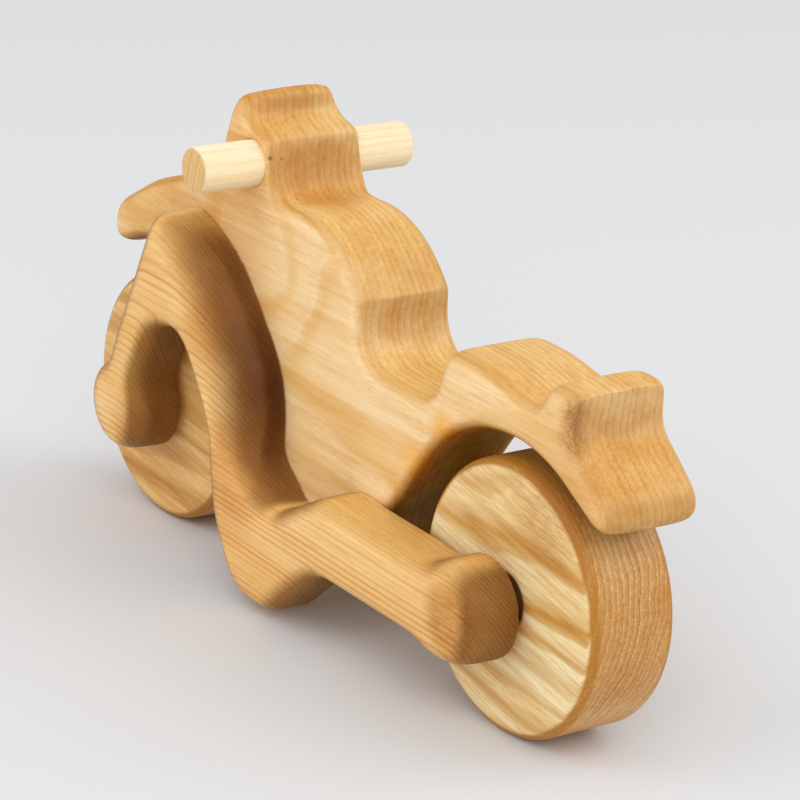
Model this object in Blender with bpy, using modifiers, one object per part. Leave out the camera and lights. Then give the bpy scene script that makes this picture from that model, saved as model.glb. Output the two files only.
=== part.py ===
# Wooden toy motorcycle: a plank body between two cut-out side frames, with a
# dowel handlebar and two plain wheels running on dowel axles.
# Metres, +X forward, +Y left, +Z up, origin on the ground under the middle.

import math

import bmesh
import bpy

MM = 0.001

# Wheels and axles
WHEEL_DIAMETER = 68.0 * MM
WHEEL_WIDTH = 24.5 * MM
WHEEL_EDGE_RADIUS = 2.9 * MM
WHEELBASE = 156.8 * MM
AXLE_DIAMETER = 8.0 * MM
AXLE_EDGE_RADIUS = 0.8 * MM
AXLE_SEAT_DEPTH = 9.0 * MM
AXLE_RUNNING_GAP = 0.4 * MM
WHEEL_SIDE_GAP = 2.2 * MM

# Body plank
BODY_EDGE_RADIUS = 3.4 * MM
REAR_ARCH_GAP = 6.4 * MM
REAR_ARCH_DROP = 1.8 * MM
FRONT_ARCH_GAP = 8.5 * MM
BODY_CLEARANCE = 12.0 * MM
SEAT_BACK = 33.0 * MM
SEAT_DROP = 1.5 * MM
FAIRING_SETBACK = 48.8 * MM
FAIRING_RISE = 54.6 * MM
TIP_MARGIN = 0.2 * MM

# Side frames
FRAME_THICKNESS = 14.5 * MM
FRAME_EDGE_RADIUS = 4.5 * MM
BOSS_RADIUS = 12.9 * MM
REAR_BOSS_FORWARD = 3.4 * MM
REAR_BOSS_DROP = 2.2 * MM
FRAME_CLEARANCE = 2.8 * MM
ARM_TOP = 6.8 * MM
ARM_DEPTH = 19.6 * MM

# Handlebar dowel
HANDLEBAR_DIAMETER = 12.0 * MM
HANDLEBAR_LENGTH = 63.4 * MM
HANDLEBAR_EDGE_RADIUS = 0.9 * MM
HANDLEBAR_INSET = 0.4 * MM
HANDLEBAR_DROP = 20.4 * MM

# Unit of the offsets and fillets that are drawn in the outlines
DRAWN_UNIT = 1.0 * MM

# Fits
GLUE_GAP = 0.3 * MM
CUT_MARGIN = 2.0 * MM

# Facets
WHEEL_FACETS = 72
DOWEL_FACETS = 32
ROUND_SEGMENTS = 3
ARC_SAG = 0.06 * MM
ARC_STEP = math.radians(18.0)

# Derived sizes, and heights above the ground
wheel_radius = WHEEL_DIAMETER / 2
axle_z = wheel_radius
rear_arch = wheel_radius + REAR_ARCH_GAP + REAR_ARCH_DROP
front_arch = wheel_radius + FRONT_ARCH_GAP
rear_arch_z = axle_z - REAR_ARCH_DROP
rear_crown = rear_arch_z + rear_arch
front_crown = axle_z + front_arch
seat_z = rear_crown - SEAT_DROP
fairing_z = front_crown + FAIRING_RISE
body_thickness = WHEEL_WIDTH + 2 * WHEEL_SIDE_GAP
frame_y = body_thickness / 2 + GLUE_GAP + FRAME_THICKNESS / 2
axle_length = body_thickness + 2 * AXLE_SEAT_DEPTH
arm_top = axle_z + ARM_TOP
arm_foot = arm_top - ARM_DEPTH

COLOURS = {
    "honey_board": ((0.74, 0.49, 0.22, 1.0), 0.48),
    "frame_board": ((0.70, 0.44, 0.18, 1.0), 0.50),
    "wheel_disc": ((0.77, 0.53, 0.25, 1.0), 0.50),
    "pale_dowel": ((0.88, 0.72, 0.44, 1.0), 0.55),
    "axle_dowel": ((0.80, 0.62, 0.36, 1.0), 0.60),
}


# Scene and collections

def clear_scene():
    for thing in list(bpy.data.objects):
        bpy.data.objects.remove(thing, do_unlink=True)


def new_collection(name):
    made = bpy.data.collections.new(name)
    bpy.context.scene.collection.children.link(made)
    return made


def finish_for(name, look):
    colour, roughness = COLOURS[look]
    material = bpy.data.materials.new(name + "_" + look)
    material.use_nodes = True
    shader = material.node_tree.nodes["Principled BSDF"]
    shader.inputs["Base Color"].default_value = colour
    shader.inputs["Roughness"].default_value = roughness
    shader.inputs["Metallic"].default_value = 0.0
    return material


def add_part(name, mesh, look):
    mesh.name = name
    mesh.materials.clear()
    mesh.materials.append(finish_for(name, look))
    mesh.shade_smooth()
    mesh.set_sharp_from_angle(angle=math.radians(32.0))
    part = bpy.data.objects.new(name, mesh)
    part.rotation_euler = (math.pi / 2, 0.0, 0.0)
    parts.objects.link(part)
    return part


# Outlines in the side view: x forward of the rear axle, z above the ground

def arc(centre, radius, start, end):
    turn = math.radians(end - start)
    step = min(ARC_STEP, 2 * math.acos(1 - ARC_SAG / radius))
    count = max(2, math.ceil(abs(turn) / step))
    angles = [math.radians(start) + turn * i / count for i in range(count + 1)]
    return [(centre[0] + radius * math.cos(a), centre[1] + radius * math.sin(a)) for a in angles]


def sharp(points):
    return [(x, z, 0.0) for x, z in points]


def bend(before, corner, after, edge_radius):
    """Return a corner's direction back, its opening, its fillet radius and the side it takes."""
    x, z, radius = corner
    back = math.atan2(before[1] - z, before[0] - x)
    onward = math.atan2(after[1] - z, after[0] - x)
    opening = (onward - back + math.pi) % (2 * math.pi) - math.pi
    if radius > 0.0 and opening > 0.0:
        radius = max(radius, edge_radius + TIP_MARGIN)
    return back, opening, radius, radius / math.tan(abs(opening) / 2)


def rounded(corners, edge_radius):
    """Replace each corner (x, z, radius) of a closed clockwise outline by its fillet arc.

    Outer fillets leave room for the rounded edge, and a fillet is limited by its two sides.
    """
    after = corners[1:] + corners[:1]
    before = corners[-1:] + corners[:-1]
    bends = [bend(*three, edge_radius) for three in zip(before, corners, after)]
    points = []
    for i, (x, z, drawn_radius) in enumerate(corners):
        back, opening, radius, taken = bends[i]
        if drawn_radius == 0.0:
            points.append((x, z))
            continue
        for near, side_taken in ((before[i], bends[i - 1][3]), (after[i], bends[(i + 1) % len(bends)][3])):
            side = math.dist((x, z), near[:2])
            radius = min(radius, bends[i][2] * side / (taken + side_taken))
        reach = radius / math.sin(abs(opening) / 2)
        bisector = back + opening / 2
        centre = (x + reach * math.cos(bisector), z + reach * math.sin(bisector))
        start = back - math.copysign(math.pi / 2, opening)
        turn = math.copysign(math.pi - abs(opening), -opening)
        points += arc(centre, radius, math.degrees(start), math.degrees(start + turn))
    return points


def drawn_from(x, z):
    """Return a function that places a corner by its offset from this point, in drawn units."""
    def corner(forward, rise, radius):
        return x + forward * DRAWN_UNIT, z + rise * DRAWN_UNIT, radius * DRAWN_UNIT
    return corner


def turned_from(x, z, base):
    """Return a function that places a corner by its angle and its depth beyond this circle."""
    def corner(angle, depth, radius):
        reach = base + depth * DRAWN_UNIT
        a = math.radians(angle)
        return x + reach * math.cos(a), z + reach * math.sin(a), radius * DRAWN_UNIT
    return corner


def body_outline():
    tail = turned_from(0.0, rear_arch_z, rear_arch)
    tip = turned_from(0.0, rear_arch_z, rear_arch + 2 * BODY_EDGE_RADIUS)
    seat = drawn_from(SEAT_BACK, seat_z)
    tank = drawn_from(WHEELBASE / 2, seat_z)
    fairing = drawn_from(WHEELBASE - FAIRING_SETBACK, fairing_z)
    fender = drawn_from(WHEELBASE, front_crown)
    keel_front = drawn_from(WHEELBASE - front_arch, BODY_CLEARANCE)
    keel_rear = drawn_from(rear_arch, BODY_CLEARANCE)
    arch_foot = drawn_from(rear_arch, axle_z)
    corners = [
        tail(136.5, 1.4, 3.6),           # tail, inner lower corner
        tip(142.0, -0.8, 3.6),           # tail tip
        tip(134.1, 3.3, 7.0),            # back of the tail
        tail(114.2, 12.0, 5.0),          # foot of the tail light
        tail(110.5, 21.7, 0.0),          # tail light, rear edge
        tail(101.7, 19.8, 4.0),          # tail light, front edge
        tail(98.2, 11.0, 4.0),           # valley behind the rear seat
        tail(77.9, 15.3, 45.0),          # rear seat, crown
        tail(64.2, 20.5, 5.0),           # rear seat, front edge
        seat(0.0, 0.0, 7.0),             # seat, rear end of the floor
        tank(-13.5, 0.0, 11.0),          # seat, front end of the floor
        tank(-15.2, 15.9, 0.0),          # tank, rear edge
        tank(0.2, 31.5, 33.0),           # tank shoulder
        fairing(-3.8, -27.7, 7.0),       # foot of the fairing
        fairing(0.0, -12.5, 3.6),        # dash
        fairing(9.8, -10.3, 4.0),        # foot of the windscreen
        fairing(12.6, 0.0, 3.6),         # fairing top
        fairing(19.2, -8.0, 8.0),        # fairing brow
        fairing(24.5, -26.9, 14.0),      # foot of the fairing front
        fender(7.8, 16.2, 30.0),         # front fender, bend
        fender(27.2, 4.8, 9.0),          # front fender, brow
        fender(26.0, -6.3, 3.6),         # front fender, tip
    ]
    corners += sharp(arc((WHEELBASE, axle_z), front_arch, 64.0, 180.0))
    corners += [
        keel_front(-10.0, 0.0, 9.0),
        keel_rear(11.0, 0.0, 6.0),
        arch_foot(7.5, 0.0, 9.0),
    ]
    corners += sharp(arc((0.0, rear_arch_z), rear_arch, 33.0, 122.0))
    return rounded(corners, BODY_EDGE_RADIUS)


def frame_outline():
    boss_x = REAR_BOSS_FORWARD
    boss_z = axle_z - REAR_BOSS_DROP
    head = drawn_from(WHEELBASE, front_crown)
    front_boss = turned_from(WHEELBASE, axle_z, BOSS_RADIUS)
    hub = drawn_from(WHEELBASE, axle_z)
    belly = drawn_from(WHEELBASE, FRAME_CLEARANCE)
    arm_upper = drawn_from(WHEELBASE, arm_top)
    arm_lower = drawn_from(WHEELBASE, arm_foot)
    rear_upper = drawn_from(boss_x + BOSS_RADIUS, arm_top)
    rear_lower = drawn_from(boss_x + BOSS_RADIUS, arm_foot)
    rear_foot = drawn_from(boss_x + BOSS_RADIUS / 2, boss_z - BOSS_RADIUS)
    corners = [
        head(-16.8, 17.4, 5.5),          # head of the fork
        front_boss(66.8, -0.7, 4.0),     # fork meets the front boss
    ]
    corners += sharp(arc((WHEELBASE, axle_z), BOSS_RADIUS, 46.0, -208.0))
    corners += [
        front_boss(136.2, 1.0, 5.0),     # fork leaves the front boss
        head(-25.0, -3.2, 11.0),         # arch between fork and downtube
        hub(-45.6, 11.0, 40.0),          # downtube, front bend
        hub(-50.5, -13.0, 25.0),         # downtube into the belly
        belly(-61.8, 0.0, 14.0),
        belly(-78.0, 0.0, 6.0),
        arm_lower(-99.3, 0.0, 7.0),
        rear_lower(0.0, 0.0, 8.0),
        rear_foot(0.0, 0.0, 9.0),
    ]
    corners += sharp(arc((boss_x, boss_z), BOSS_RADIUS, -88.0, -310.0))
    corners += [
        rear_upper(0.0, 0.0, 6.0),
        arm_upper(-98.3, 1.0, 14.0),
        arm_upper(-77.0, -10.9, 3.0),    # inner corner above the belly
        arm_upper(-64.1, -1.1, 7.0),     # heel of the downtube
        head(-63.9, -17.2, 30.0),        # downtube, rear bend
        head(-37.8, 11.7, 45.0),         # shoulder of the fork
    ]
    return rounded(corners, FRAME_EDGE_RADIUS)


# Solids

def board(outline, thickness, rounded_sides):
    """Cut a board of this outline; mark the edges of the named sides (+1, -1) for rounding."""
    curve = bpy.data.curves.new("outline", "CURVE")
    curve.dimensions = "2D"
    curve.fill_mode = "BOTH"
    curve.extrude = thickness / 2
    spline = curve.splines.new("POLY")
    spline.points.add(len(outline) - 1)
    for point, (x, z) in zip(spline.points, outline):
        point.co = (x, z, 0.0, 1.0)
    spline.use_cyclic_u = True
    holder = bpy.data.objects.new("outline", curve)
    bpy.context.scene.collection.objects.link(holder)
    evaluated = holder.evaluated_get(bpy.context.evaluated_depsgraph_get())
    mesh = bpy.data.meshes.new_from_object(evaluated)
    bpy.data.objects.remove(holder, do_unlink=True)

    shape = bmesh.new()
    shape.from_mesh(mesh)
    bmesh.ops.remove_doubles(shape, verts=shape.verts, dist=0.01 * MM)
    bmesh.ops.recalc_face_normals(shape, faces=shape.faces)
    weight = shape.edges.layers.float.new("bevel_weight_edge")
    for side in (1, -1):
        cap = [face for face in shape.faces if face.normal.z * side > 0.99]
        merged = bmesh.ops.dissolve_faces(shape, faces=cap)["region"]
        if side in rounded_sides:
            for edge in merged[0].edges:
                edge[weight] = 1.0
    shape.to_mesh(mesh)
    shape.free()
    return mesh


def round_edges(part, radius, by_angle=False):
    bevel = part.modifiers.new("Rounded edges", "BEVEL")
    bevel.limit_method = "ANGLE" if by_angle else "WEIGHT"
    bevel.angle_limit = math.radians(60.0)
    bevel.width = radius
    bevel.segments = ROUND_SEGMENTS
    bevel.use_clamp_overlap = False
    bevel.loop_slide = False
    bevel.harden_normals = True


def cut(part, cutter):
    boolean = part.modifiers.new("Bore " + cutter.name, "BOOLEAN")
    boolean.operation = "DIFFERENCE"
    boolean.solver = "EXACT"
    boolean.object = cutter


def rod_mesh(radius, length):
    mesh = bpy.data.meshes.new("rod")
    shape = bmesh.new()
    bmesh.ops.create_cone(shape, cap_ends=True, segments=DOWEL_FACETS,
                          radius1=radius, radius2=radius, depth=length)
    shape.to_mesh(mesh)
    shape.free()
    return mesh


def rod(name, radius, length, place, edge_radius, look):
    part = add_part(name, rod_mesh(radius, length), look)
    part.location = place
    round_edges(part, edge_radius, by_angle=True)
    return part


def bore(name, radius, length, place):
    cutter = bpy.data.objects.new(name, rod_mesh(radius, length))
    cutter.rotation_euler = (math.pi / 2, 0.0, 0.0)
    cutter.location = place
    cutter.hide_render = True
    cutter.display_type = "WIRE"
    cutters.objects.link(cutter)
    return cutter


def wheel(name, axle_x):
    """Turn a plain disc with rounded rims and an axle bore; its flats touch the ground."""
    rim = wheel_radius / math.cos(math.pi / WHEEL_FACETS)
    hole = (AXLE_DIAMETER / 2 + AXLE_RUNNING_GAP) / math.cos(math.pi / WHEEL_FACETS)
    half = WHEEL_WIDTH / 2
    edge = WHEEL_EDGE_RADIUS
    profile = [(hole, half)]
    profile += arc((rim - edge, half - edge), edge, 90.0, 0.0)
    profile += arc((rim - edge, edge - half), edge, 0.0, -90.0)
    profile += [(hole, -half)]
    mesh = bpy.data.meshes.new(name)
    shape = bmesh.new()
    points = [shape.verts.new((x, 0.0, z)) for x, z in profile]
    for first, second in zip(points, points[1:] + points[:1]):
        shape.edges.new((first, second))
    shape.to_mesh(mesh)
    shape.free()
    part = add_part(name, mesh, "wheel_disc")
    part.location = (axle_x, 0.0, axle_z)
    part.rotation_euler.y = math.pi / WHEEL_FACETS
    turn = part.modifiers.new("Turned disc", "SCREW")
    turn.steps = WHEEL_FACETS
    turn.render_steps = WHEEL_FACETS
    turn.use_merge_vertices = True
    turn.merge_threshold = 0.01 * MM
    turn.use_normal_calculate = True
    return part


# The toy, with its origin under the middle of its length

clear_scene()
parts = new_collection("toy_motorcycle")
cutters = new_collection("cutters")

body_profile = body_outline()
tail_x = min(x for x, z in body_profile)
rear_x = -(tail_x + WHEELBASE + wheel_radius) / 2
front_x = rear_x + WHEELBASE
handlebar_place = (
    front_x - FAIRING_SETBACK + HANDLEBAR_INSET + HANDLEBAR_DIAMETER / 2,
    0.0,
    fairing_z - HANDLEBAR_DROP,
)

body = add_part("body", board(body_profile, body_thickness, (1, -1)), "honey_board")
body.location.x = rear_x
round_edges(body, BODY_EDGE_RADIUS)
cut(body, bore("handlebar_hole", HANDLEBAR_DIAMETER / 2 + GLUE_GAP,
               body_thickness + 2 * CUT_MARGIN, handlebar_place))

axle_bores = [
    bore(name, AXLE_DIAMETER / 2 + GLUE_GAP, axle_length + 2 * GLUE_GAP, (x, 0.0, axle_z))
    for name, x in (("front_axle_bore", front_x), ("rear_axle_bore", rear_x))
]
for name, side in (("left_side_frame", 1), ("right_side_frame", -1)):
    frame = add_part(name, board(frame_outline(), FRAME_THICKNESS, (-side,)), "frame_board")
    frame.location = (rear_x, side * frame_y, 0.0)
    round_edges(frame, FRAME_EDGE_RADIUS)
    for axle_bore in axle_bores:
        cut(frame, axle_bore)

for end, x in (("front", front_x), ("rear", rear_x)):
    rod(end + "_axle", AXLE_DIAMETER / 2, axle_length, (x, 0.0, axle_z),
        AXLE_EDGE_RADIUS, "axle_dowel")
    wheel(end + "_wheel", x)

rod("handlebar", HANDLEBAR_DIAMETER / 2, HANDLEBAR_LENGTH, handlebar_place,
    HANDLEBAR_EDGE_RADIUS, "pale_dowel")
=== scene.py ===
import math

import bmesh
import bpy
import numpy as np
from mathutils import Matrix, Quaternion, Vector
from mathutils.bvhtree import BVHTree


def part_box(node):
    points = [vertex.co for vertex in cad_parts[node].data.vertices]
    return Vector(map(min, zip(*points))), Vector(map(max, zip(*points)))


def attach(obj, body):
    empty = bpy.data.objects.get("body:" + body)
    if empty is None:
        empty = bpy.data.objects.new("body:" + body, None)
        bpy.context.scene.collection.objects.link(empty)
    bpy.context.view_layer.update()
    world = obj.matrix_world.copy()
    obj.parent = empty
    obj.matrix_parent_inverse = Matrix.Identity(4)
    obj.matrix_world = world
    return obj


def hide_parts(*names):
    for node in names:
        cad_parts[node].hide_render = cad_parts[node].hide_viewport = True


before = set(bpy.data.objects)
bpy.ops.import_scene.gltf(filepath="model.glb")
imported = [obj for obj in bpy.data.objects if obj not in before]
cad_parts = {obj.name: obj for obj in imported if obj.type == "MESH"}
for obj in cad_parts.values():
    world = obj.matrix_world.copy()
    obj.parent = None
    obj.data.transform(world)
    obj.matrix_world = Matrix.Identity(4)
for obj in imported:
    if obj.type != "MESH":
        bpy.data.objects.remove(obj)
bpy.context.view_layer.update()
scene = bpy.context.scene
millimetre = 0.001
mergeDistance = 0.002 * millimetre
goldenAngle = 2.399963  # radians; steps of it never line up
print("frame loaded:", ", ".join(sorted(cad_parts)))


# colour and node helpers
def linearColour(hexText):
    channels = [int(hexText[start:start + 2], 16) / 255 for start in (1, 3, 5)]
    linear = [c / 12.92 if c <= 0.04045 else ((c + 0.055) / 1.055) ** 2.4 for c in channels]
    return (*linear, 1.0)


def addNode(tree, kind, sockets=None, output=0, **settings):
    node = tree.nodes.new("ShaderNode" + kind)
    for setting, value in settings.items():
        setattr(node, setting, value)
    for socket, value in (sockets or {}).items():
        if isinstance(value, bpy.types.NodeSocket):
            tree.links.new(value, node.inputs[socket])
        else:
            node.inputs[socket].default_value = value
    return node if output is None else node.outputs[output]


mixColours = {"data_type": "RGBA", "output": 2}  # Mix sockets: 0 share, 6 and 7 the colours
tintColours = {**mixColours, "blend_type": "MULTIPLY"}
softStep = {"interpolation_type": "SMOOTHSTEP"}  # Map Range: 0 value, 1 and 2 its span, 3 and 4 result


# oiled ash: pale, ring-porous hardwood, sanded and rubbed with oil. The oil leaves a satin skin,
# the late wood of every year is an amber band, and the open pores show as short dashes along the
# grain. End grain soaks up more oil, so it is browner, and its pores are cut across to pale dots.
def oiledAsh(name, wood):
    def span(key):  # where a blend starts and ends
        return dict(zip((1, 2), wood[key]))

    material = bpy.data.materials.new(name)
    material.use_nodes = True
    tree = material.node_tree
    tree.nodes.clear()
    hue = {key: linearColour(wood[key]) for key in ("poreDark", "fleck", "rim", "hollowShade")}
    place = addNode(tree, "TexCoord", output="Object")
    facing = addNode(tree, "Attribute", output="Vector", attribute_name="grainFacing")
    facingParts = addNode(tree, "SeparateXYZ", {0: facing}, output=None)
    cutAcross, flatness, upright = facingParts.outputs
    # painted shade: how closed in each point is, read from rays cast in the script
    occlusionShade = addNode(tree, "Attribute", output="Fac", attribute_name="occlusionShade")

    # the log: the grain runs along local X, and the year rings lie round the heart
    turn = [math.radians(angle) for angle in wood["turn"]]
    heart = Vector((0.0, *wood["heart"])) * millimetre
    log = addNode(tree, "Mapping", {"Vector": place, "Location": -heart, "Rotation": turn})
    grain = {}
    for layer in ("sway", "tone", "streak", "fibre", "pore"):
        length, width, detail, seed = wood[layer]
        stretch = (1 / (length * millimetre), 1 / (width * millimetre), 1 / (width * millimetre))
        drawn = addNode(tree, "Mapping", {
            "Vector": log, "Scale": stretch, "Location": (seed, seed, seed)})
        grain[layer] = addNode(tree, "TexNoise", {
            "Vector": drawn, "Scale": 1.0, "Detail": detail, "Roughness": wood["noiseRoughness"]},
            output="Fac")

    # years: distance from the heart in ring gaps, swaying along the grain and lifted by swells
    section = addNode(tree, "VectorMath", {0: log, 1: (0.0, 1.0, 1.0)}, operation="MULTIPLY")
    radius = addNode(tree, "VectorMath", {0: section}, output="Value", operation="LENGTH")
    swayed = addNode(tree, "Math", {
        0: grain["sway"], 1: wood["swayReach"] * 2 * millimetre, 2: radius}, operation="MULTIPLY_ADD")
    years = addNode(tree, "Math", {0: swayed, 1: wood["ringGap"] * millimetre}, operation="DIVIDE")
    for swell in wood["swells"]:
        shrink = [1 / (swell["along"] * millimetre), 0.0, 1 / (swell["up"] * millimetre)]
        shift = [-swell["x"] / swell["along"], 0.0, -swell["z"] / swell["up"]]
        fromCentre = addNode(tree, "Mapping", {"Vector": place, "Scale": shrink, "Location": shift})
        distance = addNode(tree, "VectorMath", {0: fromCentre}, output="Value", operation="LENGTH")
        lift = addNode(tree, "MapRange", {0: distance, 3: swell["years"], 4: 0.0},
                       interpolation_type="SMOOTHERSTEP")
        years = addNode(tree, "Math", {0: years, 1: lift}, operation="ADD")
    leanAndFat = addNode(tree, "TexNoise", {"W": years, "Scale": wood["unevenPace"], "Detail": 1.0},
                         output="Fac", noise_dimensions="1D")
    years = addNode(tree, "Math", {0: leanAndFat, 1: wood["unevenYears"], 2: years},
                    operation="MULTIPLY_ADD")
    season = addNode(tree, "Math", {0: years}, operation="FRACT")
    yearNumber = addNode(tree, "Math", {0: years}, operation="FLOOR")
    yearMood = addNode(tree, "TexWhiteNoise", {"W": yearNumber}, output="Value", noise_dimensions="1D")
    yearStrength = addNode(tree, "MapRange", {0: yearMood, 3: wood["quietYear"], 4: 1.0})
    tones = {}
    for cut in ("broadSeason", "thinSeason", "poreSeason"):
        ramp = addNode(tree, "ValToRGB", {"Fac": season}, output=None)
        ramp.color_ramp.interpolation = "EASE"
        points = ramp.color_ramp.elements
        while len(points) < len(wood[cut]):
            points.new(0.5)
        for point, (stop, grey) in zip(points, wood[cut]):
            point.position = stop
            point.color = (grey, grey, grey, 1.0)
        tones[cut] = ramp.outputs["Color"]

    # pores open in the first part of each year
    poreNeed = addNode(tree, "MapRange", {
        0: tones["poreSeason"], 3: wood["poreLate"], 4: wood["poreEarly"]})
    poreRise = addNode(tree, "Math", {0: grain["pore"], 1: poreNeed}, operation="SUBTRACT")
    pores = addNode(tree, "MapRange", {0: poreRise, 1: 0.0, 2: wood["poreSoft"]}, **softStep)

    # early and late wood of side faces, of edges and of cut ends
    surface = {}
    for cut, tone in (("face", "broadSeason"), ("edge", "thinSeason"), ("end", "thinSeason")):
        early, late = map(linearColour, wood[cut])
        lateShare = addNode(tree, "Math", {0: tones[tone], 1: yearStrength}, operation="MULTIPLY")
        surface[cut] = addNode(tree, "Mix", {0: lateShare, 6: early, 7: late}, **mixColours)
    edgeGrain = addNode(tree, "MapRange", {0: upright, **span("edgeSpan")}, **softStep)
    endGrain = addNode(tree, "MapRange", {0: cutAcross, **span("endSpan")}, **softStep)
    colour = addNode(tree, "Mix", {0: edgeGrain, 6: surface["face"], 7: surface["edge"]}, **mixColours)
    dashDepth = addNode(tree, "MapRange", {0: edgeGrain, 3: wood["facePores"], 4: wood["edgePores"]})
    dashes = addNode(tree, "Math", {0: pores, 1: dashDepth}, operation="MULTIPLY")
    colour = addNode(tree, "Mix", {0: dashes, 6: colour, 7: hue["poreDark"]}, **mixColours)
    flecks = addNode(tree, "Math", {0: pores, 1: wood["fleckAmount"]}, operation="MULTIPLY")
    cutEnd = addNode(tree, "Mix", {0: flecks, 6: surface["end"], 7: hue["fleck"]}, **mixColours)
    colour = addNode(tree, "Mix", {0: endGrain, 6: colour, 7: cutEnd}, **mixColours)

    # slow drifts of tone, streaks and single fibres
    for layer in ("tone", "streak", "fibre"):
        tint, depth = wood[layer + "Tint"]
        amount = addNode(tree, "MapRange", {
            0: grain[layer], **span(layer + "Span"), 4: depth}, **softStep)
        colour = addNode(tree, "Mix", {0: amount, 6: colour, 7: linearColour(tint)}, **tintColours)

    # rounded edges hold more oil, and so do marks left by hands and tools; in hollows the rims are
    # darkened further as painted shade, and some marks are painted shade
    turnedAway = addNode(tree, "MapRange", {0: flatness, **span("rimSpan")}, **softStep)
    stillSide = addNode(tree, "MapRange", {
        0: flatness, **span("sideSpan"), 4: wood["rimAmount"]}, **softStep)
    sheltered = addNode(tree, "MapRange", {
        0: occlusionShade, **span("shelterSpan"), 3: 1.0, 4: wood["rimInHollow"]})
    rim = addNode(tree, "Math", {0: turnedAway, 1: stillSide}, operation="MULTIPLY")
    rim = addNode(tree, "Math", {0: rim, 1: sheltered}, operation="MULTIPLY", use_clamp=True)
    rimFlecks = addNode(tree, "Math", {0: pores, 1: wood["rimFlecks"]}, operation="MULTIPLY")
    rimColour = addNode(tree, "Mix", {0: rimFlecks, 6: hue["rim"], 7: hue["fleck"]}, **mixColours)
    colour = addNode(tree, "Mix", {0: rim, 6: colour, 7: rimColour}, **mixColours)
    for spot, core, reach, depth, speckled, tint in wood["marks"]:
        distance = addNode(tree, "VectorMath", {0: place, 1: Vector(spot) * millimetre},
                           output="Value", operation="DISTANCE")
        amount = addNode(tree, "MapRange", {
            0: distance, 1: core * millimetre, 2: reach * millimetre, 3: depth, 4: 0.0}, **softStep)
        speckle = addNode(tree, "MapRange", {
            0: grain["pore"], **span("speckleSpan"), 3: 1 - speckled, 4: 1.0})
        amount = addNode(tree, "Math", {0: amount, 1: speckle}, operation="MULTIPLY")
        colour = addNode(tree, "Mix", {0: amount, 6: colour, 7: linearColour(tint)}, **tintColours)

    # painted shade: hollows, found by rays cast against the toy and the floor, are darkened by a gamma
    # and tinted, standing in for the shade that falls there
    hollow = addNode(tree, "MapRange", {
        0: occlusionShade, **span("recessSpan"), 4: wood["recessDepth"]}, **softStep)
    openFace = addNode(tree, "MapRange", {
        0: flatness, **span("openSpan"), 3: 1.0, 4: wood["flatRecess"]})
    shadeGamma = addNode(tree, "Math", {0: hollow, 1: openFace, 2: 1.0}, operation="MULTIPLY_ADD")
    colour = addNode(tree, "Gamma", {"Color": colour, "Gamma": shadeGamma})
    hollowShade = addNode(tree, "MapRange", {
        0: shadeGamma, 1: 1.0, 2: 1 + wood["recessDepth"], 4: wood["hollowShadeAmount"]})
    colour = addNode(tree, "Mix", {0: hollowShade, 6: colour, 7: hue["hollowShade"]}, **tintColours)

    # satin skin
    low, high = wood["roughness"]
    poreDip = addNode(tree, "Math", {0: pores, 1: -wood["poreDip"]}, operation="MULTIPLY")
    grit = addNode(tree, "Math", {0: grain["fibre"], 1: wood["fibreRise"], 2: poreDip},
                   operation="MULTIPLY_ADD")
    bump = addNode(tree, "Bump", {
        "Strength": wood["bump"], "Distance": wood["bumpDepth"] * millimetre, "Height": grit})
    satin = addNode(tree, "MapRange", {0: grain["fibre"], **span("satinSpan"), 3: low, 4: high})
    shader = addNode(tree, "BsdfPrincipled", {
        "Base Color": colour, "Roughness": satin, "Normal": bump, "IOR": wood["ior"],
        "Specular IOR Level": wood["gloss"]})
    addNode(tree, "OutputMaterial", {"Surface": shader}, output=None)
    return material


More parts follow.
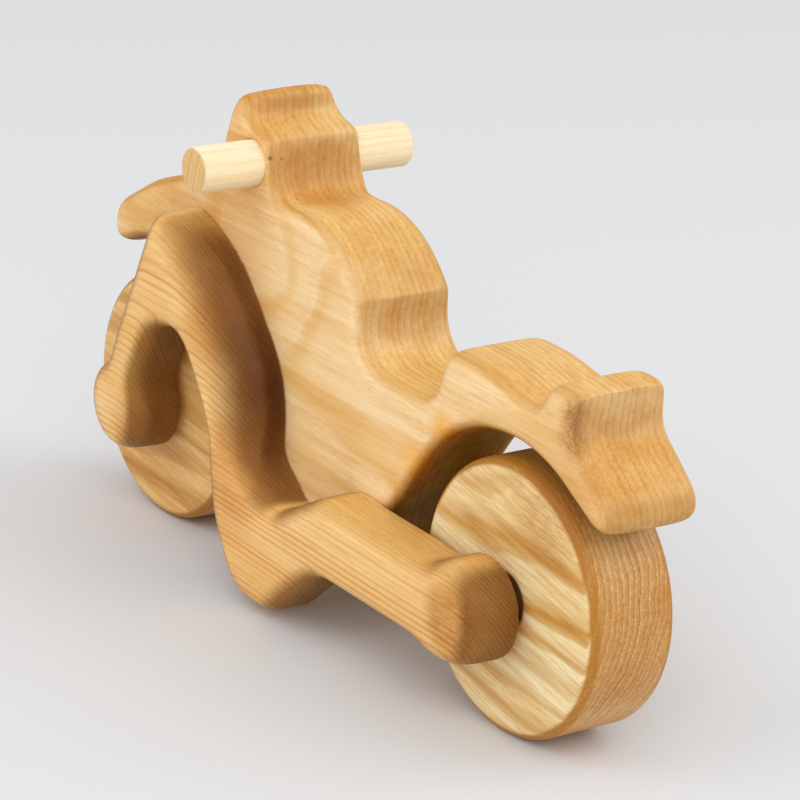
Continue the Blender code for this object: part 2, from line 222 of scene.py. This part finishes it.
ashFinish = {  # shared by every piece, in mm and sRGB
    # noise layers along the grain: length, width, detail, seed
    "sway": (95.0, 26.0, 1.5, 3.1), "tone": (80.0, 14.0, 2.0, 41.3), "streak": (45.0, 1.6, 2.0, 31.1),
    "fibre": (14.0, 0.55, 3.0, 11.7), "pore": (4.5, 0.5, 1.0, 23.9), "noiseRoughness": 0.55,
    "toneTint": ("#F3D8A0", 0.45), "toneSpan": (0.34, 0.68),
    "streakTint": ("#EED096", 0.22), "streakSpan": (0.38, 0.64),
    "fibreTint": ("#E9CA8C", 0.22), "fibreSpan": (0.40, 0.66),
    # year rings: how far along the year, how strong
    "swayReach": 1.6, "unevenYears": 0.6, "unevenPace": 0.41, "quietYear": 0.25, "swells": [],
    "broadSeason": ((0.0, 0.0), (0.25, 0.04), (0.52, 0.22), (0.78, 1.0), (0.90, 0.75), (1.0, 0.0)),
    "thinSeason": ((0.0, 0.0), (0.12, 0.0), (0.55, 0.12), (0.80, 0.45), (0.92, 1.0), (1.0, 0.0)),
    "poreSeason": ((0.0, 1.0), (0.22, 1.0), (0.34, 0.0), (0.94, 0.0), (1.0, 1.0)),
    "poreEarly": 0.50, "poreLate": 0.66, "poreSoft": 0.06, "poreDark": "#B57E32",
    "facePores": 0.10, "edgePores": 0.30,
    # colours of early and late wood
    "face": ("#FDDEAC", "#F3CC8B"),
    "edge": ("#ECC278", "#D4A358"), "edgeSpan": (0.35, 0.95),
    "end": ("#DCAA68", "#AD763A"), "endSpan": (0.55, 0.98), "fleck": "#F0CB90", "fleckAmount": 0.7,
    # oil on rounded edges and in marks, and painted shade in hollows
    "rim": "#B87A26", "rimAmount": 0.25, "rimInHollow": 2.0, "rimFlecks": 0.1,
    "rimSpan": (0.985, 0.82), "sideSpan": (0.05, 0.45), "shelterSpan": (0.25, 0.5),
    "marks": [], "speckleSpan": (0.36, 0.60),  # marks: place, core, reach, amount, speckle, tint
    "recessSpan": (0.32, 0.80), "recessDepth": 1.0, "flatRecess": 0.15, "openSpan": (0.5, 1.0),
    "hollowShade": "#94AC1C", "hollowShadeAmount": 0.78,
    # satin skin
    "roughness": (0.41, 0.53), "satinSpan": (0.3, 0.7), "gloss": 0.38, "ior": 1.48,
    "bump": 0.3, "bumpDepth": 0.25, "fibreRise": 0.6, "poreDip": 0.5,
}


# meshes
crispAngle = 35.0  # degrees; sharper edges keep their own shading
sandingPressure = 0.5
fadeInAndOut = (0.0, 1.0, 1.0, 0.0)
# rays that find the hollows for the painted shade
hollowProbe = {  # mm; a ray that goes down to the floor counts in part
    "rays": 14, "reach": 45.0, "lift": 0.6, "floorDip": -0.1, "floorShare": 0.4, "blurs": 25,
}
cadCorners = []
cadFaces = []
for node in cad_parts.values():
    start = len(cadCorners)
    cadCorners += [vertex.co.copy() for vertex in node.data.vertices]
    cadFaces += [[start + index for index in face.vertices] for face in node.data.polygons]
cadTree = BVHTree.FromPolygons(cadCorners, cadFaces)
probeRays = []
for step in range(hollowProbe["rays"]):  # even spread over a half sphere, denser along the normal
    height = math.sqrt((step + 0.5) / hollowProbe["rays"])
    turnAngle = step * goldenAngle
    flat = math.sqrt(1 - height * height)
    probeRays.append(Vector((flat * math.cos(turnAngle), flat * math.sin(turnAngle), height)))


def hollowness(vertex):  # share of the rays that meet a wall of the toy or the floor; this sets the painted shade in hollows
    ownTurn = Quaternion((0, 0, 1), vertex.index * goldenAngle)  # neighbours look in other directions
    spin = vertex.normal.to_track_quat("Z", "Y") @ ownTurn
    start = vertex.co + vertex.normal * hollowProbe["lift"] * millimetre
    reach = hollowProbe["reach"] * millimetre
    hits = 0
    for ray in probeRays:
        heading = spin @ ray
        wall, normal = cadTree.ray_cast(start, heading, reach)[:2]
        if wall and normal.dot(heading) < 0:
            hits += 1
        elif not wall and heading.z < hollowProbe["floorDip"]:
            hits += hollowProbe["floorShare"]
    return hits / len(probeRays)


def addPiece(name, body, node, mesh, material, grainAxis=0):
    for face in mesh.polygons:
        face.use_smooth = True
    mesh.set_sharp_from_angle(angle=math.radians(crispAngle))
    order = (grainAxis, 1 - grainAxis, 2)  # along the grain, across it, up
    facing = mesh.attributes.new("grainFacing", "FLOAT_VECTOR", "POINT")
    for vertex, entry in zip(mesh.vertices, facing.data):
        entry.vector = [abs(vertex.normal[axis]) for axis in order]
    # painted shade: how closed in each point is, blurred over the mesh, darkens its colour
    occlusionShade = mesh.attributes.new("occlusionShade", "FLOAT", "POINT")
    if body == "chassis":  # a wheel turns, so its hollows would turn with it
        depth = np.array([hollowness(vertex) for vertex in mesh.vertices])
        pairs = np.array([edge.vertices[:] for edge in mesh.edges])
        ends = np.concatenate((pairs[:, 0], pairs[:, 1]))
        others = np.concatenate((pairs[:, 1], pairs[:, 0]))
        neighbours = np.bincount(ends, minlength=len(depth))
        for blur in range(hollowProbe["blurs"]):
            depth = (depth + np.bincount(ends, depth[others], len(depth))) / (neighbours + 1)
        occlusionShade.data.foreach_set("value", depth)
    mesh.materials.clear()
    mesh.materials.append(material)
    piece = bpy.data.objects.new(name, mesh)
    scene.collection.objects.link(piece)
    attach(piece, body)
    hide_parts(node)
    print("piece", name, len(mesh.polygons), "faces")


def finishName(pieceName):
    return "oiledAsh" + pieceName[0].upper() + pieceName[1:]


def sandedBoard(node, board):  # the CAD board with an even skin, sanded round
    work = bmesh.new()
    work.from_mesh(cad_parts[node].data)
    bmesh.ops.remove_doubles(work, verts=work.verts, dist=mergeDistance)
    rough = bpy.data.meshes.new(node + "Rough")
    work.to_mesh(rough)
    work.free()
    blank = bpy.data.objects.new(node + "Blank", rough)
    scene.collection.objects.link(blank)
    skin = blank.modifiers.new("evenSkin", "REMESH")
    skin.mode = "VOXEL"
    skin.voxel_size = board["voxel"] * millimetre
    blank.data = bpy.data.meshes.new_from_object(
        blank.evaluated_get(bpy.context.evaluated_depsgraph_get()))
    blank.modifiers.clear()

    if "roll" in board:
        roll = board["roll"]
        for vertex in blank.data.vertices:  # the outer side leans in towards the back of the downtube
            x, y, z = vertex.co / millimetre
            back = np.interp(z, *zip(*roll["line"]))
            ahead = np.interp(x - back, roll["across"], fadeInAndOut)
            height = np.interp(z, roll["heights"], fadeInAndOut)
            depth = (abs(y) - roll["inner"]) / roll["thickness"]
            vertex.co.y -= math.copysign(roll["drop"] * ahead ** 2 * height * depth, y) * millimetre

    start, full = board["roundFrom"], board["roundFull"]
    edges = blank.vertex_groups.new(name="edges")  # sanded round towards the outer sides
    corners = blank.vertex_groups.new(name="corners")  # sanded rounder still
    for vertex in blank.data.vertices:
        side = (abs(vertex.co.y) / millimetre - start) / (full - start)
        edges.add([vertex.index], min(1.0, max(0.0, side)), "REPLACE")
        rounder = 0.0
        for spot, reach, fade in board["corners"]:
            far = (vertex.co - Vector(spot) * millimetre).length / millimetre
            rounder = max(rounder, min(1.0, (reach - far) / fade))
        corners.add([vertex.index], rounder, "REPLACE")
    for group, strokes in (("", board["strokes"]), ("edges", board["edgeStrokes"]),
                           ("corners", board["cornerStrokes"])):
        sanding = blank.modifiers.new("sanding" + group, "SMOOTH")
        sanding.factor = sandingPressure
        sanding.iterations = strokes
        sanding.vertex_group = group
    finished = bpy.data.meshes.new_from_object(
        blank.evaluated_get(bpy.context.evaluated_depsgraph_get()))
    bpy.data.objects.remove(blank)
    return finished


def turnedPart(name, turning):  # half section spun round the Y axis
    work = bmesh.new()
    halfWidth = turning["width"] / 2 * millimetre
    outer = turning["diameter"] / 2 * millimetre
    inner = turning["bore"] / 2 * millimetre
    corners = [(inner, -halfWidth), (outer, -halfWidth), (outer, halfWidth), (inner, halfWidth)]
    points = [work.verts.new((radius, y, 0.0)) for radius, y in corners]
    outline = list(zip(points, points[1:]))
    if inner > 0:
        outline.append((points[3], points[0]))
    for pair in outline:
        work.edges.new(pair)
    bmesh.ops.bevel(work, geom=points[1:3], offset=turning["edgeRadius"] * millimetre,
                    segments=turning["edgeSegments"], profile=0.5, affect="VERTICES", material=-1)
    long = [edge for edge in work.edges if edge.calc_length() > turning["longEdge"] * millimetre]
    bmesh.ops.subdivide_edges(work, edges=long, cuts=turning["cuts"])
    bmesh.ops.spin(work, geom=work.verts[:] + work.edges[:], cent=(0, 0, 0), axis=(0, 1, 0),
                   angle=math.tau, steps=turning["steps"], use_merge=True)
    bmesh.ops.remove_doubles(work, verts=work.verts, dist=mergeDistance)
    bmesh.ops.recalc_face_normals(work, faces=work.faces)
    bmesh.ops.translate(work, verts=work.verts, vec=turning["centre"])
    mesh = bpy.data.meshes.new(name)
    work.to_mesh(mesh)
    work.free()
    return mesh


def centreOf(node):
    low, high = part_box(node)
    return (Vector(low) + Vector(high)) / 2


def sizeOf(node):
    low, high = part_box(node)
    return (Vector(high) - Vector(low)) / millimetre


# body plank
bodyPlank = {
    "voxel": 0.8, "strokes": 4, "roundFrom": 7.0, "roundFull": 12.0, "edgeStrokes": 34,
    "cornerStrokes": 40,
    "corners": [  # place, reach, fade
        ((44.0, 14.45, 126.0), 15.0, 8.0),  # fairing top, rounder on the left
        ((-112.0, 14.45, 62.0), 14.0, 7.0),  # tail tip, rounder on the left
        ((-38.0, 14.45, 52.0), 13.0, 7.0),  # front of the rear arch
        ((-46.0, 14.45, 63.0), 13.0, 7.0),
        ((-56.0, 14.45, 70.5), 13.0, 7.0),
    ],
    "holeEdge": 6.6, "holeFit": 6.04, "holeFade": 10.0,  # the dowel fills its hole
    "crispReach": 14.0, "crispFade": 6.0,  # the edge by the hole is left crisp
    "crispDepth": 6.0, "side": 14.45,
}
bodyWood = {
    **ashFinish, "heart": (-151.1, 76.0), "turn": (0.0, 0.0, 1.2), "ringGap": 2.0, "unevenYears": 0.9,
    "face": ("#FFE2B2", "#F3CC8B"), "edge": ("#EEC682", "#D6A864"), "end": ("#DEBA84", "#C6A274"),
    "fleckAmount": 0.3, "gloss": 0.12, "tone": (110.0, 5.5, 2.0, 41.3), "toneTint": ("#EED4A0", 0.5),
    "swells": [  # the arched figure by the fork
        {"x": 34.0, "z": 84.0, "along": 44.0, "up": 30.0, "years": 1.8},
    ],
    "marks": [
        ((28.0, 0.0, 107.0), 6.0, 17.0, 0.8, 0.1, "#E0C498"),  # dash
        ((46.0, 0.0, 128.0), 5.0, 16.0, 0.8, 0.1, "#DCBE90"),  # fairing top
        ((-110.0, 0.0, 72.0), 10.0, 24.0, 0.8, 0.2, "#EBD6B0"),  # top of the tail tip
        ((50.0, 14.0, 90.0), 14.0, 34.0, 0.45, 0.0, "#F0D2A0"),  # side above the fork
        ((-10.0, -4.0, 93.0), 8.0, 22.0, 0.8, 0.0, "#EFE5CF"),  # tank
        ((-95.0, 14.0, 72.0), 8.0, 22.0, 0.4, 0.1, "#F0DAB0"),  # tail side
        ((-99.8, 14.4, 88.0), 1.0, 7.0, 0.75, 0.5, "#A0703C"),  # step above the tail tip
        ((-99.6, 14.4, 82.0), 1.0, 6.5, 0.6, 0.5, "#A0703C"),
        ((-113.0, 7.0, 58.0), 2.0, 9.0, 0.7, 0.3, "#C09A6C"),  # tail tip
        ((-113.0, -7.0, 58.0), 2.0, 9.0, 0.7, 0.3, "#C09A6C"),
        ((-51.0, 13.6, 67.0), 2.0, 8.0, 0.8, 0.0, "#FFE28C"),  # edge of the rear arch
        ((-40.5, 13.6, 55.5), 2.0, 9.0, 0.7, 0.0, "#FFE28C"),
        ((-4.0, 14.0, 50.0), 8.0, 22.0, 0.35, 0.0, "#F4DCB0"),  # side below the tank
        ((30.9, 13.3, 113.6), 0.15, 0.9, 0.65, 0.0, "#6A4414"),  # two specks behind the fairing
        ((29.9, 10.3, 113.4), 0.15, 0.8, 0.5, 0.0, "#6A4414"),
        ((86.0, 14.0, 88.0), 10.0, 26.0, 0.8, 0.0, "#EED8A8"),  # front fender
        ((39.0, 14.0, 117.0), 8.0, 20.0, 0.4, 0.0, "#F0D4A4"),  # fairing side
    ],
}
bodyMesh = sandedBoard("body", bodyPlank)
barCentre = centreOf("handlebar")
holeFade, holeFit, holeEdge = (bodyPlank[key] for key in ("holeFade", "holeFit", "holeEdge"))
holeStretch = (holeFade - holeFit) / (holeFade - holeEdge)
for vertex in bodyMesh.vertices:
    outward = Vector((vertex.co.x - barCentre.x, 0.0, vertex.co.z - barCentre.z))
    reach = outward.length / millimetre
    if reach < holeFade:
        fitted = holeFit + max(0.0, reach - holeEdge) * holeStretch
        vertex.co += outward.normalized() * (fitted - reach) * millimetre
    crisp = min(1.0, max(0.0, (bodyPlank["crispReach"] - reach) / bodyPlank["crispFade"]))
    inset = max(0.0, bodyPlank["side"] - abs(vertex.co.y) / millimetre)
    if inset < bodyPlank["crispDepth"]:
        squared = inset * (inset / bodyPlank["crispDepth"]) ** crisp
        vertex.co.y += math.copysign((inset - squared) * millimetre, vertex.co.y)
addPiece("bodyPlank", "chassis", "body", bodyMesh, oiledAsh("oiledAshBody", bodyWood))

# side frames, written for the left one
frameBoard = {
    "voxel": 0.62, "strokes": 4, "roundFrom": 16.0, "roundFull": 22.0, "edgeStrokes": 90,
    "cornerStrokes": 100,
    "roll": {
        "line": ((43.1, 15.9), (55.1, 16.9), (67.7, 23.7), (78.4, 33.3), (85.0, 40.5), (90.0, 50.0)),
        "across": (-10.0, -4.0, 0.0, 22.0), "heights": (34.0, 44.0, 86.0, 93.0),
        "inner": 14.75, "thickness": 14.5, "drop": 6.0,
    },  # line: height, back edge; across: distance ahead of that edge
    "corners": [
        ((-75.0, 31.0, 31.0), 20.0, 7.0),  # rear boss
        ((80.0, 31.0, 34.0), 20.0, 7.0),  # front boss
        ((29.0, 30.0, 79.0), 14.0, 7.0),  # back of the downtube
        ((19.5, 30.0, 67.0), 14.0, 7.0),
        ((12.5, 30.0, 55.0), 14.0, 7.0),
        ((11.5, 30.0, 43.0), 14.0, 7.0),
        ((3.0, 29.0, 31.0), 13.0, 8.0),  # heel
        ((4.0, 30.0, 11.0), 12.0, 8.0),  # belly
        ((-10.0, 30.0, 12.0), 12.0, 8.0),
    ],
}
frameFinish = {
    **ashFinish, "heart": (-90.0, 120.0), "turn": (0.0, 0.0, 0.3), "ringGap": 1.0, "swayReach": 0.6,
    "face": ("#FCD494", "#E0A656"), "edge": ("#F6D08A", "#DCAA60"),
    "end": ("#A17843", "#704E1F"), "endSpan": (0.03, 0.56), "fleckAmount": 0.05, "gloss": 0.2,
    # painted shade in hollows, kept at full strength on flat faces, so the inner face beside the wheel is
    # dark
    "recessSpan": (0.22, 0.62), "recessDepth": 0.15, "flatRecess": 1.0,
    "hollowShade": "#8A6820", "hollowShadeAmount": 0.2, "rimInHollow": 1.0,
    "marks": [  # worn and darkened by fingers; those at the back of the downtube are also painted shade
        ((-81.0, 28.0, 30.0), 5.0, 15.0, 0.3, 0.3, "#D8C096"),  # rear boss
        ((70.0, 28.0, 31.0), 3.0, 12.0, 0.6, 0.3, "#D2AC7C"),  # front boss
        ((-77.0, 29.0, 33.0), 5.0, 12.0, 0.9, 0.3, "#D8BE94"),
        ((21.0, 29.0, 34.0), 6.0, 20.0, 0.6, 0.1, "#E2C49C"),  # foot of the downtube
        ((35.0, 29.0, 69.0), 4.0, 14.0, 0.7, 0.1, "#E4C696"),  # middle of the downtube
        ((41.0, 22.0, 85.0), 3.0, 15.0, 0.55, 0.1, "#A88444"),  # back of the downtube: end grain darkened by oil, and painted shade of the corner beside the body
        ((27.0, 21.0, 76.0), 4.0, 18.0, 0.58, 0.1, "#9A7430"),
        ((16.0, 21.0, 64.0), 4.0, 20.0, 0.9, 0.1, "#9A7430"),
        ((10.0, 21.0, 50.0), 4.0, 20.0, 0.75, 0.1, "#9A7430"),
    ],
}


def onSide(side, entries):  # each entry begins with its place
    return [((x, side * y, z), *rest) for (x, y, z), *rest in entries]


for side, node, pieceName in ((1, "left_side_frame", "leftFrameBoard"),
                              (-1, "right_side_frame", "rightFrameBoard")):
    board = {**frameBoard, "corners": onSide(side, frameBoard["corners"])}
    heartY, heartZ = frameFinish["heart"]
    wood = {**frameFinish, "heart": (side * heartY, heartZ),
            "turn": [side * angle for angle in frameFinish["turn"]],
            "marks": onSide(side, frameFinish["marks"])}
    addPiece(pieceName, "chassis", node, sandedBoard(node, board),
             oiledAsh(finishName(pieceName), wood))

# wheels
wheelTurning = {
    "bore": 8.8, "edgeRadius": 2.9, "edgeSegments": 8, "longEdge": 4.0, "cuts": 6, "steps": 160,
}
wheelFinish = {
    **ashFinish, "ringGap": 1.75, "unevenYears": 1.1, "quietYear": 0.5,
    "broadSeason": ((0.0, 0.0), (0.22, 0.03), (0.44, 0.50), (0.66, 1.0), (0.88, 0.75), (1.0, 0.0)),
    "face": ("#FFEFC0", "#D29E42"), "edge": ("#D8A252", "#B07832"), "end": ("#D09E5C", "#A67642"),
    "sway": (95.0, 12.0, 2.5, 3.1), "pore": (3.0, 0.38, 1.0, 23.9),
    "streakTint": ("#EAC67C", 0.35), "fibreTint": ("#E2BE70", 0.4),
    "fleck": "#EAC88E", "fleckAmount": 0.65, "rim": "#B4761E", "rimAmount": 0.97, "rimFlecks": 0.18,
}
rearWheelWood = {
    **wheelFinish, "heart": (500.0, 157.0), "turn": (0.0, 10.0, 1.5),
    "swells": [{"x": -94.0, "z": 66.0, "along": 60.0, "up": 20.0, "years": 1.4}],
    "marks": [((-90.0, 12.0, 59.0), 4.0, 19.0, 0.55, 0.5, "#D0A560")],
}
# painted shade: the front wheel's face colours are darker than the rear wheel's, for the shade of the
# fork and frame over it
frontWheelWood = {
    **wheelFinish, "heart": (-400.0, 92.0), "turn": (0.0, 6.0, -1.5), "face": ("#F6CE88", "#D09A4C"),
}
hubShade = (6.8, 7.6, 0.9, 0.0, "#3A2410")  # painted shade on the wheel face round the bore, in the gap behind the boss
for node, pieceName, wood in (("rear_wheel", "rearWheelDisc", rearWheelWood),
                              ("front_wheel", "frontWheelDisc", frontWheelWood)):
    size = sizeOf(node)
    centre = centreOf(node)
    turning = {**wheelTurning, "diameter": size.x, "width": size.y, "centre": centre}
    hubs = [centre / millimetre + Vector((0.0, y, 0.0)) for y in (-size.y / 2, size.y / 2)]
    wood = {**wood, "marks": wood["marks"] + [(hub, *hubShade) for hub in hubs]}
    addPiece(pieceName, node, node, turnedPart(pieceName, turning),
             oiledAsh(finishName(pieceName), wood))

# handlebar and axles: turned dowels, grain along Y
dowelTurning = {
    "bore": 0.0, "edgeRadius": 0.9, "edgeSegments": 5, "longEdge": 4.0, "cuts": 4, "steps": 64,
}
handlebarWood = {
    **ashFinish, "heart": (9.0, 104.0), "turn": (0.0, 0.0, 90.0), "ringGap": 1.7,
    "face": ("#FFF3D0", "#FDE6B6"), "edge": ("#FFF3D0", "#FDE6B6"), "end": ("#E8C080", "#D0A05A"),
    "toneTint": ("#F3D8A0", 0.1), "streakTint": ("#EED096", 0.15), "fibreTint": ("#E9CA8C", 0.15),
    # light painted shade in hollows, with no tint
    "facePores": 0.08, "edgePores": 0.08, "rimAmount": 0.1, "recessDepth": 0.3, "hollowShadeAmount": 0.0,
}
axleWood = {**handlebarWood, "heart": (9.0, 40.0)}
for node, pieceName, slotName, wood in (("handlebar", "handlebarDowel", "handlebar_wood", handlebarWood),
                                        ("rear_axle", "rearAxleDowel", "axle_wood", axleWood),
                                        ("front_axle", "frontAxleDowel", "axle_wood", axleWood)):
    size = sizeOf(node)
    turning = {**dowelTurning, "diameter": size.x, "width": size.y, "centre": centreOf(node)}
    addPiece(pieceName, "chassis", node, turnedPart(pieceName, turning),
             oiledAsh(finishName(pieceName), wood), grainAxis=1)

# studio: pale floor, soft light, camera
studio = {  # metres and watts
    "floorColour": "#E1E2E4", "floorRoughness": 0.95, "floorSize": 9.0, "floorCells": 8,
    "skyColour": "#FFFFFF", "skyLight": 0.68, "skySeen": "#E2E2E2",
    "leftBox": {"place": (0.35, 1.50, 1.60), "size": 1.9, "power": 10.0},
    "rightBox": {"place": (-0.98, -1.37, 1.42), "size": 1.9, "power": 12.5},
    "cameraBox": {"place": (-1.40, 1.00, 1.30), "size": 1.6, "power": 12.0},
    "aim": (0.0, 0.0, 0.06),
}
floorMesh = bpy.data.meshes.new("studioFloor")
floorWork = bmesh.new()
bmesh.ops.create_grid(floorWork, x_segments=studio["floorCells"], y_segments=studio["floorCells"],
                      size=studio["floorSize"] / 2)
floorWork.to_mesh(floorMesh)
floorWork.free()
paper = bpy.data.materials.new("mattPaper")  # matt photo paper, no gloss
paper.use_nodes = True
paperShader = paper.node_tree.nodes["Principled BSDF"]
paperShader.inputs["Base Color"].default_value = linearColour(studio["floorColour"])
paperShader.inputs["Roughness"].default_value = studio["floorRoughness"]
paperShader.inputs["Specular IOR Level"].default_value = 0.0
floorMesh.materials.append(paper)
studioFloor = bpy.data.objects.new("studioFloor", floorMesh)
scene.collection.objects.link(studioFloor)

world = bpy.data.worlds.new("studioSky")
world.use_nodes = True
scene.world = world
sky = world.node_tree
sky.nodes.clear()
rays = addNode(sky, "LightPath", output=None).outputs
seenOrGlossy = addNode(sky, "Math", {0: rays["Is Camera Ray"], 1: rays["Is Glossy Ray"]},
                       operation="MAXIMUM")
seenAtAll = addNode(sky, "Math", {0: seenOrGlossy, 1: rays["Is Transmission Ray"]},
                    operation="MAXIMUM")
lighting = addNode(sky, "Background", {
    "Color": linearColour(studio["skyColour"]), "Strength": studio["skyLight"]})
seen = addNode(sky, "Background", {"Color": linearColour(studio["skySeen"]), "Strength": 1.0})
skyMix = addNode(sky, "MixShader", {0: seenAtAll, 1: lighting, 2: seen})
addNode(sky, "OutputWorld", {"Surface": skyMix}, output=None)

aim = Vector(studio["aim"])
for lightName in ("leftBox", "rightBox", "cameraBox"):
    lamp = studio[lightName]
    light = bpy.data.lights.new(lightName, "AREA")
    light.shape = "DISK"
    light.size = lamp["size"]
    light.energy = lamp["power"]
    lightObject = bpy.data.objects.new(lightName, light)
    place = Vector(lamp["place"])
    towardsAim = (aim - place).to_track_quat("-Z", "Y").to_matrix().to_4x4()
    lightObject.matrix_world = Matrix.Translation(place) @ towardsAim
    scene.collection.objects.link(lightObject)

# camera fitted to the wheels, the handlebar and the wheelbase
shot = {  # radians, pixels, and lengths in wheel radii, which unit turns to metres
    "azimuth": 4.09003817, "elevation": 0.345500673, "roll": 0.0583283387,
    "focalPixels": 3477.245, "distance": 24.6111667, "shiftX": 137.142544, "shiftY": 320.906379,
    "unit": 0.034, "imageWidth": 800, "sensor": 36.0,
}
rearAxle = centreOf("rear_wheel")
back = Vector((math.sin(shot["azimuth"]) * math.cos(shot["elevation"]),
               -math.cos(shot["azimuth"]) * math.cos(shot["elevation"]), math.sin(shot["elevation"])))
level = (-back).cross(Vector((0, 0, 1))).normalized()
upright = level.cross(-back)
right = math.cos(shot["roll"]) * level + math.sin(shot["roll"]) * upright
upward = math.cos(shot["roll"]) * upright - math.sin(shot["roll"]) * level
perPixel = shot["distance"] / shot["focalPixels"]
stand = (shot["distance"] * back - shot["shiftX"] * perPixel * right + shot["shiftY"] * perPixel * upward)
stand = stand * shot["unit"] + Vector((rearAxle.x, 0, 0))
camera = bpy.data.cameras.new("photoCamera")
camera.sensor_width = shot["sensor"]
camera.lens = shot["focalPixels"] / shot["imageWidth"] * shot["sensor"]
cameraObject = bpy.data.objects.new("photoCamera", camera)
turn = Matrix((right, upward, back)).transposed()
cameraObject.matrix_world = Matrix.Translation(stand) @ turn.to_4x4()
scene.collection.objects.link(cameraObject)
scene.camera = cameraObject
scene.view_settings.view_transform = "Standard"
print("studio and camera set")
